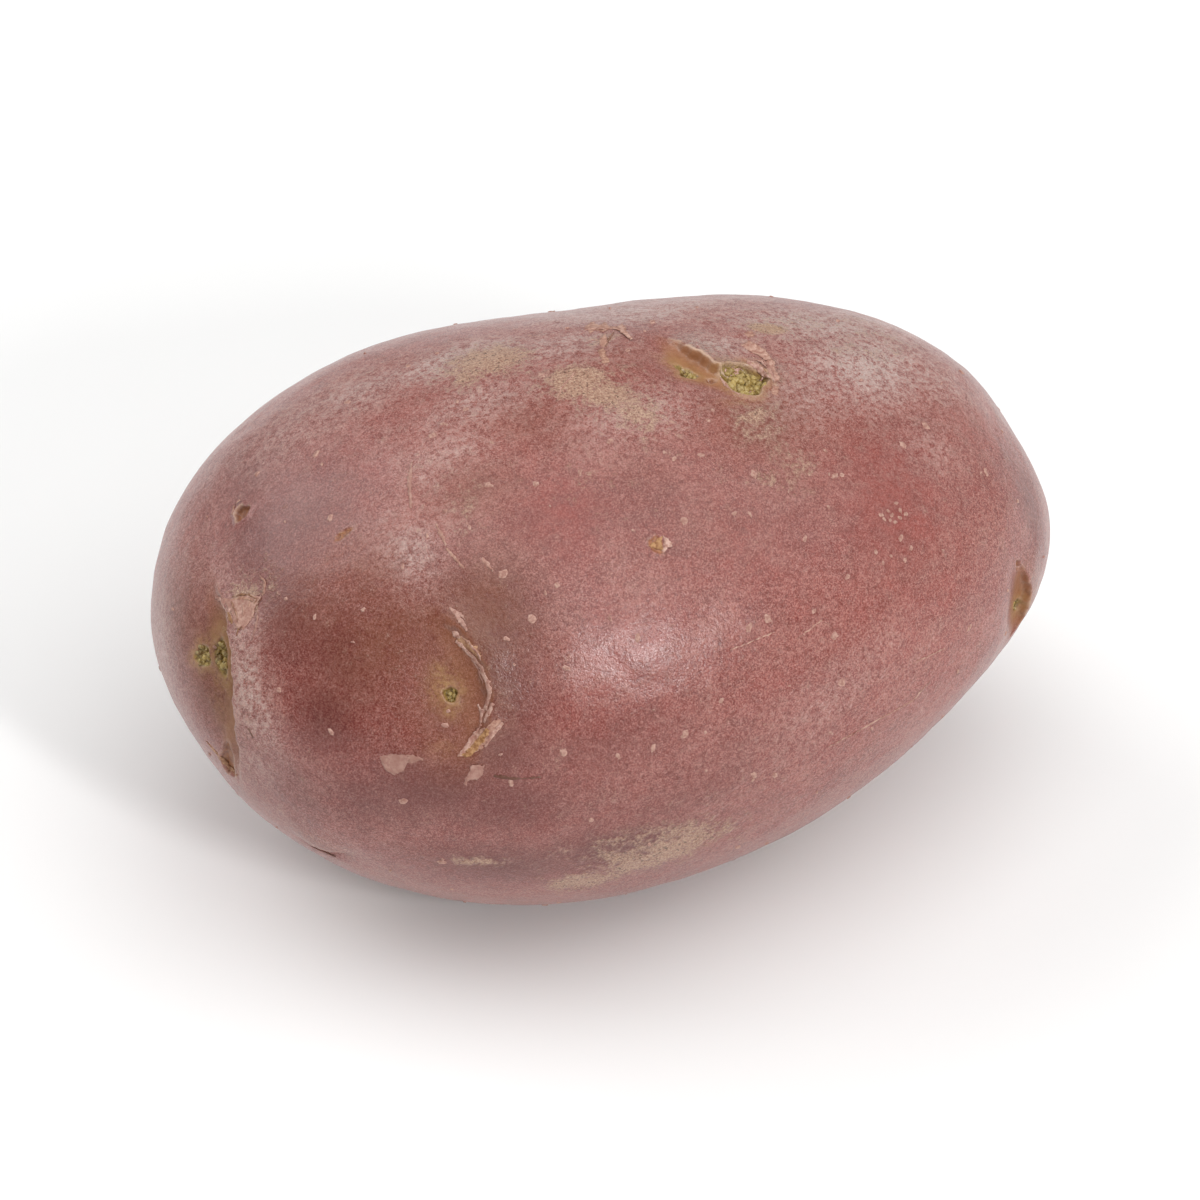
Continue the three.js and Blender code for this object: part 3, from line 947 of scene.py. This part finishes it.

# Strips of loose skin, by middle line in pixels of the photograph, with the width at each end and in
# the middle in millimetres, how far they lift, how tan they are, how dull and how dark.
# Dark strips are partly painted shade, in cracks and under lifted edges.
STRIPS = [
    ([(450, 607), (456, 614), (462, 623), (467, 631)], (0.2, 0.45, 0.15), 0.05, 0, 0.5),
    ([(450, 609), (455, 612), (460, 613), (465, 620)], (0.1, 0.25, 0.1), 0.05, 0, 0.3),
    ([(452, 632), (456, 634), (460, 638)], (0.3, 0.7, 0.3), 0.03),
    ([(457, 637), (465, 643), (473, 650), (480, 658)], (0.6, 1, 0.5), 0.02, 0.8, 0.2),
    ([(461, 636), (470, 644), (478, 652), (481, 660)], (0.1, 0.25, 0.1), 0.1, 0, 0.1),
    ([(456, 641), (466, 650), (475, 660), (482, 670), (487, 681), (489, 691), (488, 700), (485, 710)],
     (0.3, 0.65, 0.5), 0.02),
    ([(472, 660), (479, 671), (483, 683)], (0.1, 0.25, 0.1), 0, 0, 0.5),
    ([(478, 704), (482, 714), (480, 723)], (0.15, 0.35, 0.25), 0.05),
    ([(493, 703), (489, 712), (484, 722)], (0.2, 0.5, 0.3), 0.05, 0, 0.3),
    ([(489, 729), (482, 738), (475, 747), (464, 757)], (0.3, 0.75, 0.5), 0.12, 1),
    ([(482, 724), (475, 734), (468, 744), (460, 755)], (0.15, 0.35, 0.15), 0.2),
    ([(502, 722), (496, 730), (490, 738), (485, 747)], (0.2, 0.4, 0.15), 0.15, 0, 0.1),
    ([(720, 376), (728, 387), (738, 395), (748, 394), (757, 388), (762, 379)], (0.12, 0.3, 0.2), 0.1),
    ([(762, 360), (768, 368), (774, 383)], (0.1, 0.3, 0.1), 0.25, 0, 0.2),
    ([(752, 357), (760, 362), (766, 369)], (0.1, 0.35, 0.1), 0.3, 0, 0.1),
    ([(412, 462), (409, 480), (411, 508)], (0.15, 0.5, 0.2), 0, 0, 0.7),
    ([(436, 524), (441, 534), (446, 545)], (0.15, 0.4, 0.2), 0, 0.1, 0.5),
    ([(446, 548), (454, 557), (464, 568)], (0.15, 0.35, 0.15), 0, 0.2, 0.5),
    ([(482, 558), (487, 564), (493, 571)], (0.2, 0.5, 0.15), 0.05, 0, 0.2),
    ([(232, 514), (234, 507), (241, 501)], (0.1, 0.3, 0.1), 0.2, 0.2),
    ([(206, 741), (214, 750), (222, 759), (230, 768), (237, 775)], (0.1, 0.45, 0.2), 0.05, 0.7),
    ([(232, 597), (240, 595), (249, 595), (257, 599)], (0.08, 0.2, 0.08), 0.15, 0.8, 0, 0.45),
    ([(258, 599), (253, 606), (252, 614), (246, 622)], (0.08, 0.2, 0.08), 0.15, 0.8, 0, 0.45),
    ([(242, 627), (238, 630), (236, 636)], (0.08, 0.2, 0.08), 0.15, 0.8, 0, 0.4),
    ([(232, 602), (236, 612), (238, 624)], (0.08, 0.15, 0.08), 0.15, 0.5, 0, 0.2),
    ([(228, 612), (230, 618), (232, 623)], (0.2, 0.5, 0.2), 0.1, 1, 0, 0.3),
    ([(216, 598), (222, 602), (228, 610), (232, 621)], (0.2, 0.55, 0.25), 0.1, 0, 0.1),
    ([(232, 600), (242, 598), (254, 601)], (0.15, 0.35, 0.15), 0.2, 0.4, 0.2),
    ([(243, 605), (244, 613), (240, 622)], (0.15, 0.4, 0.15), 0.12, 0.2, 0.5),
    ([(250, 600), (249, 608), (246, 616)], (0.1, 0.3, 0.1), 0.12, 0.3, 0.4),
    ([(260, 575), (265, 583), (263, 595)], (0.15, 0.4, 0.2), 0.05, 0.3, 0.6),
    ([(252, 640), (256, 625), (258, 612)], (0.1, 0.3, 0.1), 0.02, 0, 0.8),
    ([(601, 331), (612, 328), (622, 332), (631, 341)], (0.2, 0.6, 0.2), 0.25, 0.1),
    ([(585, 330), (595, 328), (604, 331)], (0.2, 0.6, 0.3), 0.2, 0.1, 0.2),
    ([(614, 332), (609, 339), (606, 347)], (0.1, 0.3, 0.1), 0, 0.3, 0, 0.5),
    ([(494, 776), (505, 777), (517, 779)], (0.2, 0.36, 0.16), 0.01, 0, 0, 0.9),
    ([(514, 779), (528, 778), (541, 777)], (0.12, 0.18, 0.1), 0.01, 0, 0, 0.8),
    ([(248, 728), (251, 733), (253, 738)], (0.08, 0.2, 0.08), 0, 0, 0, 0.8),
    ([(311, 846), (322, 851), (336, 856)], (0.1, 0.25, 0.1), 0.1, 0, 0.3, 0.7),
]

# Fine scratches, by line in pixels of the photograph.
SCRATCHES = [
    [(828, 747), (879, 719), (912, 701), (930, 681)],
    [(914, 663), (945, 648)],
    [(797, 639), (822, 620)],
    [(730, 650), (775, 632)],
    [(575, 372), (560, 390), (556, 402)],
]
SCRATCH_WIDTH = 0.17
SCRATCH_TAN = 0.1
SCRATCH_DULL = 0.2
SHEET_STEP = 0.28  # between the points of a piece of loose skin
SHEET_THICKNESS = 0.06
SHEET_GAP = 0.03  # under a sheet where it lies flat
SHEET_CRUMPLE = 0.03  # how far it waves up and down
TEAR = 0.05  # how far a torn edge wavers


def torn(outline):
    """An outline with its sides cut into short steps that waver as a tear does."""
    points = []
    for k, start in enumerate(outline):
        end = outline[(k + 1) % len(outline)]
        steps = max(1, round((end - start).length / (0.7 * SHEET_STEP)))
        for step in range(steps):
            waver = Vector((rng.gauss(0, 1), rng.gauss(0, 1))) * (TEAR if steps > 1 else 0)
            points.append(start.lerp(end, step / steps) + waver)
    return points


def add_sheet(mesh, layers, outline, lift, *tones):
    """Lays a thin sheet with an outline, given as points on the skin, on the skin."""
    centre = sum(outline, Vector()) / len(outline)
    centre, out = land(centre, nearest_normal(centre))
    heel = Vector((1, 0, 0))
    east = (heel - out * heel.dot(out)).normalized()
    north = out.cross(east)
    flat = torn([Vector(((p - centre).dot(east), (p - centre).dot(north))) for p in outline])
    low = Vector((min(p.x for p in flat), min(p.y for p in flat)))
    high = Vector((max(p.x for p in flat), max(p.y for p in flat)))
    inner = []
    for row in range(math.ceil((high.y - low.y) / SHEET_STEP)):
        for column in range(math.ceil((high.x - low.x) / SHEET_STEP)):
            jitter = Vector((rng.uniform(0.3, 0.7), rng.uniform(0.3, 0.7)))
            inner.append(low + (Vector((column, row)) + jitter) * SHEET_STEP)
    sides = [(k, (k + 1) % len(flat)) for k in range(len(flat))]
    cut = delaunay_2d_cdt(flat + inner, sides, [list(range(len(flat)))], 1, 1e-4)
    used = sorted({k for face in cut[2] for k in face})
    verts = {}
    for k in used:
        spot = cut[0][k]
        found, normal = land(centre + east * spot.x + north * spot.y, out)
        share = (spot.x - low.x) / max(0.1, high.x - low.x)
        height = SHEET_GAP + lift * share**2 + SHEET_CRUMPLE * noise.noise(found * 2)
        verts[k] = mesh.verts.new((found + normal * height) * MM)
        for layer, tone in zip(layers, tones):
            verts[k][layer] = tone
    faces = [mesh.faces.new([verts[k] for k in face]) for face in cut[2]]
    bmesh.ops.recalc_face_normals(mesh, faces=faces)
    if sum((face.normal for face in faces), Vector()).dot(out) < 0:
        bmesh.ops.reverse_faces(mesh, faces=faces)
    bmesh.ops.solidify(mesh, geom=faces, thickness=SHEET_THICKNESS * MM)


def nearest_normal(point):
    return skin_tree.find_nearest(point)[1]


def strip_outline(line, widths):
    """The outline of a strip along points on the skin."""
    start, middle_width, end = widths
    left = []
    right = []
    for k, point in enumerate(line):
        share = k / (len(line) - 1)
        bulge = 4 * share * (1 - share)
        width = (start + (end - start) * share) * (1 - bulge) + middle_width * bulge
        ahead = line[min(k + 1, len(line) - 1)] - line[max(k - 1, 0)]
        side = nearest_normal(point).cross(ahead).normalized()
        left.append(point + side * width / 2)
        right.append(point - side * width / 2)
    return left + right[::-1]


def make_loose_skin():
    mesh = bmesh.new()
    layers = [mesh.verts.layers.float.new(name) for name in ("tan", "dull", "dark")]
    for outline, *rest in FLAKES:
        add_sheet(mesh, layers, [pick(x, y)[0] for x, y in outline], *rest)
    for line, widths, *rest in STRIPS:
        add_sheet(mesh, layers, strip_outline([pick(x, y)[0] for x, y in line], widths), *rest)
    for line in SCRATCHES:
        widths = (0.6 * SCRATCH_WIDTH, SCRATCH_WIDTH, 0.6 * SCRATCH_WIDTH)
        outline = strip_outline([pick(x, y)[0] for x, y in line], widths)
        add_sheet(mesh, layers, outline, 0, SCRATCH_TAN, SCRATCH_DULL)
    data = bpy.data.meshes.new("loose_skin")
    mesh.to_mesh(data)
    mesh.free()
    link("loose_skin", data, papery_material())


make_loose_skin()


BUD_PACKING = 1.25  # radius of a bud's scales over half their spacing
BUD_SCATTER = 0.06  # how far the scales lie from an even spiral


def make_buds():
    """The eyes' dormant buds: small scales packed in their pits."""
    mesh = bmesh.new()
    tone_layer = mesh.verts.layers.float.new("tone")
    golden = math.pi * (3 - math.sqrt(5))
    for e, spot in zip(EYES, eye_spots):
        for p in e["buds"]:
            usual = BUD_PACKING * math.sqrt(p["length"] * p["width"] / max(1, p["scales"]))
            for k in range(p["scales"]):
                share = 0.92 * math.sqrt((k + 0.5) / p["scales"])
                u = p["along"] + p["length"] * share * math.cos(k * golden) + rng.gauss(0, BUD_SCATTER)
                v = p["towards"] + p["width"] * share * math.sin(k * golden) + rng.gauss(0, BUD_SCATTER)
                point = spot.point - shift + u * spot.along + v * spot.towards
                found, normal = land(Vector(point), Vector(spot.out))
                size = usual * rng.uniform(0.55, 1.15)
                tone = p["pale"] + (1 - p["pale"]) * rng.random()
                made = bmesh.ops.create_icosphere(mesh, subdivisions=2, radius=size * MM)["verts"]
                squash = rng.uniform(0.5, 0.8)
                lean = Vector([rng.gauss(0, 1) for _ in range(3)]).normalized()
                for vertex in made:
                    vertex.co -= lean * vertex.co.dot(lean) * (1 - squash)
                    vertex.co *= 1 + 0.45 * noise.noise(vertex.co / MM * 3.5 + found)
                    vertex.co += found * MM
                    vertex[tone_layer] = tone
    data = bpy.data.meshes.new("buds")
    mesh.to_mesh(data)
    mesh.free()
    link("buds", data, bud_material())


make_buds()


def make_floor():
    """A plain pale floor."""
    side = 2
    corners = [(-side, -side, 0), (side, -side, 0), (side, side, 0), (-side, side, 0)]
    mesh = bpy.data.meshes.new("floor")
    mesh.from_pydata(corners, [], [(0, 1, 2, 3)])
    s = Shader("floor")
    colour = s.mix(s.noise(40, 2), (0.86, 0.86, 0.855, 1), (0.88, 0.88, 0.875, 1))
    material = s.finish(colour, s.span(s.noise(8, 2), 0.3, 0.7, 0.75, 0.85), Specular_IOR_Level=0.2)
    mesh.materials.append(material)
    floor = bpy.data.objects.new("floor", mesh)
    bpy.context.collection.objects.link(floor)
    floor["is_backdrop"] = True


def softbox(name, azimuth, elevation, width, height, power):
    """A soft light a metre from the potato."""
    back = towards_view(azimuth, elevation)
    data = bpy.data.lights.new(name, "AREA")
    data.shape = "RECTANGLE"
    data.size = width
    data.size_y = height
    data.energy = power
    light = bpy.data.objects.new(name, data)
    bpy.context.collection.objects.link(light)
    light.location = back + Vector((0, 0, HEIGHT / 2 * MM))
    light.rotation_euler = back.to_track_quat("Z", "Y").to_euler()


STUDIO_LIGHT = 0.27  # the white surroundings' strength

make_floor()
softbox("top_light", 30, 75, 1.2, 1.2, 7.8)
softbox("right_light", 75, 30, 0.8, 0.8, 1.35)
softbox("front_light", 13, 29, 0.08, 0.22, 4.4)
softbox("back_light", -135, 40, 0.8, 0.8, 5)
world = bpy.data.worlds.new("studio")
world.use_nodes = True
world.node_tree.nodes["Background"].inputs["Color"].default_value = (1, 1, 1, 1)
world.node_tree.nodes["Background"].inputs["Strength"].default_value = STUDIO_LIGHT
bpy.context.scene.world = world
bpy.context.scene.view_settings.view_transform = "Standard"

sizes = {"cad": cad_bounds, "visual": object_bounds()}
{name: [list(corner) for corner in box] for name, box in sizes.items()}
